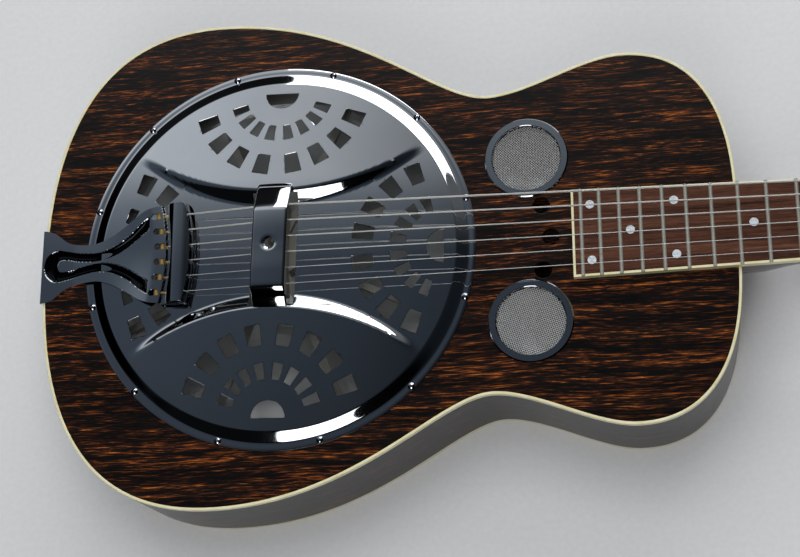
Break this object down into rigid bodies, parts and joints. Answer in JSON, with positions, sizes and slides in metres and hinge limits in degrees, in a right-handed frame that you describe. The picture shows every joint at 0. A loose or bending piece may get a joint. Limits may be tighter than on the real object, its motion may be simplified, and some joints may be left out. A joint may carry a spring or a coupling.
{
  "type": "resonator guitar",
  "caption": "Resonator guitar with a chrome cover plate, palm rest, stamped tailpiece, wire-mesh screens, bound body and fingerboard, and geared tuners.",
  "frame": {"origin": "on the back's flat outer face, straight under the centre of the cone", "axes": "+X towards the headstock, +Y towards the bass side, +Z out of the soundboard"},
  "size_m": [1.0095, 0.3604, 0.111],
  "materials": {
    "dark_laminate": "gloss lacquer",
    "cream_binding": "gloss",
    "plain_wood": "raw",
    "spun_aluminium": "spun",
    "cast_aluminium": "cast",
    "maple": "satin",
    "steel": "bright",
    "chrome_plate": "polished",
    "wire_mesh": "woven",
    "neck_wood": "gloss lacquer",
    "rosewood": "oiled",
    "nickel_silver": "bright",
    "pearl": "pearly",
    "bone": "polished",
    "black_veneer": "gloss lacquer",
    "black_plastic": "gloss",
    "brass": "bright"
  },
  "bodies": {
    "guitar": {"top": "dark_laminate", "back": "dark_laminate", "side_bass": "dark_laminate", "side_treble": "dark_laminate", "bindings": "cream_binding", "linings": "plain_wood", "back_braces": "plain_wood", "tail_block": "plain_wood", "neck_block": "plain_wood", "sound_well": "plain_wood", "cone": "spun_aluminium", "spider": "cast_aluminium", "saddles": "maple", "cone_screw": "steel", "cover_plate": "chrome_plate", "palm_rest": "chrome_plate", "plate_screws": "chrome_plate", "screen_rings": "chrome_plate", "screen_meshes": "wire_mesh", "tailpiece": "chrome_plate", "tail_bar": "chrome_plate", "end_pin": "chrome_plate", "neck": "neck_wood", "fingerboard": "rosewood", "board_binding": "cream_binding", "frets": "nickel_silver", "dot_inlays": "pearl", "nut": "bone", "truss_rod": "steel", "truss_cover": "black_plastic", "head_veneer": "black_veneer", "strings": "steel", "ball_ends": "brass", "tuner_housings": "chrome_plate", "tuner_ferrules": "chrome_plate", "tuner_screws": "steel"},
    "key_1": {"button_1": "chrome_plate", "worm_1": "steel"},
    "peg_1": {"post_1": "chrome_plate", "coil_1": "steel"},
    "key_2": {"button_2": "chrome_plate", "worm_2": "steel"},
    "peg_2": {"post_2": "chrome_plate", "coil_2": "steel"},
    "key_3": {"button_3": "chrome_plate", "worm_3": "steel"},
    "peg_3": {"post_3": "chrome_plate", "coil_3": "steel"},
    "key_4": {"button_4": "chrome_plate", "worm_4": "steel"},
    "peg_4": {"post_4": "chrome_plate", "coil_4": "steel"},
    "key_5": {"button_5": "chrome_plate", "worm_5": "steel"},
    "peg_5": {"post_5": "chrome_plate", "coil_5": "steel"},
    "key_6": {"button_6": "chrome_plate", "worm_6": "steel"},
    "peg_6": {"post_6": "chrome_plate", "coil_6": "steel"}
  },
  "joints": [
    {"name": "key_turn_1", "type": "hinge", "parent": "guitar", "child": "key_1", "pos_m": [0.69317, 0.023, 0.05059], "axis": [0, 1, 0], "continuous": true},
    {"name": "peg_turn_1", "type": "hinge", "parent": "guitar", "child": "peg_1", "pos_m": [0.69061, 0.023, 0.0739], "axis": [0.2419, 0, 0.9703], "continuous": true},
    {"name": "key_turn_2", "type": "hinge", "parent": "guitar", "child": "key_2", "pos_m": [0.73295, 0.023, 0.04067], "axis": [0, 1, 0], "continuous": true},
    {"name": "peg_turn_2", "type": "hinge", "parent": "guitar", "child": "peg_2", "pos_m": [0.7304, 0.023, 0.06399], "axis": [0.2419, 0, 0.9703], "continuous": true},
    {"name": "key_turn_3", "type": "hinge", "parent": "guitar", "child": "key_3", "pos_m": [0.77274, 0.023, 0.03076], "axis": [0, 1, 0], "continuous": true},
    {"name": "peg_turn_3", "type": "hinge", "parent": "guitar", "child": "peg_3", "pos_m": [0.77018, 0.023, 0.05407], "axis": [0.2419, 0, 0.9703], "continuous": true},
    {"name": "key_turn_4", "type": "hinge", "parent": "guitar", "child": "key_4", "pos_m": [0.77274, -0.023, 0.03076], "axis": [0, -1, 0], "continuous": true},
    {"name": "peg_turn_4", "type": "hinge", "parent": "guitar", "child": "peg_4", "pos_m": [0.77018, -0.023, 0.05407], "axis": [0.2419, 0, 0.9703], "continuous": true},
    {"name": "key_turn_5", "type": "hinge", "parent": "guitar", "child": "key_5", "pos_m": [0.73295, -0.023, 0.04067], "axis": [0, -1, 0], "continuous": true},
    {"name": "peg_turn_5", "type": "hinge", "parent": "guitar", "child": "peg_5", "pos_m": [0.7304, -0.023, 0.06399], "axis": [0.2419, 0, 0.9703], "continuous": true},
    {"name": "key_turn_6", "type": "hinge", "parent": "guitar", "child": "key_6", "pos_m": [0.69317, -0.023, 0.05059], "axis": [0, -1, 0], "continuous": true},
    {"name": "peg_turn_6", "type": "hinge", "parent": "guitar", "child": "peg_6", "pos_m": [0.69061, -0.023, 0.0739], "axis": [0.2419, 0, 0.9703], "continuous": true}
  ],
  "couplings": [
    {"joint": "peg_turn_1", "follows": "key_turn_1", "ratio": -0.066667},
    {"joint": "peg_turn_2", "follows": "key_turn_2", "ratio": -0.066667},
    {"joint": "peg_turn_3", "follows": "key_turn_3", "ratio": -0.066667},
    {"joint": "peg_turn_4", "follows": "key_turn_4", "ratio": -0.066667},
    {"joint": "peg_turn_5", "follows": "key_turn_5", "ratio": -0.066667},
    {"joint": "peg_turn_6", "follows": "key_turn_6", "ratio": -0.066667}
  ]
}
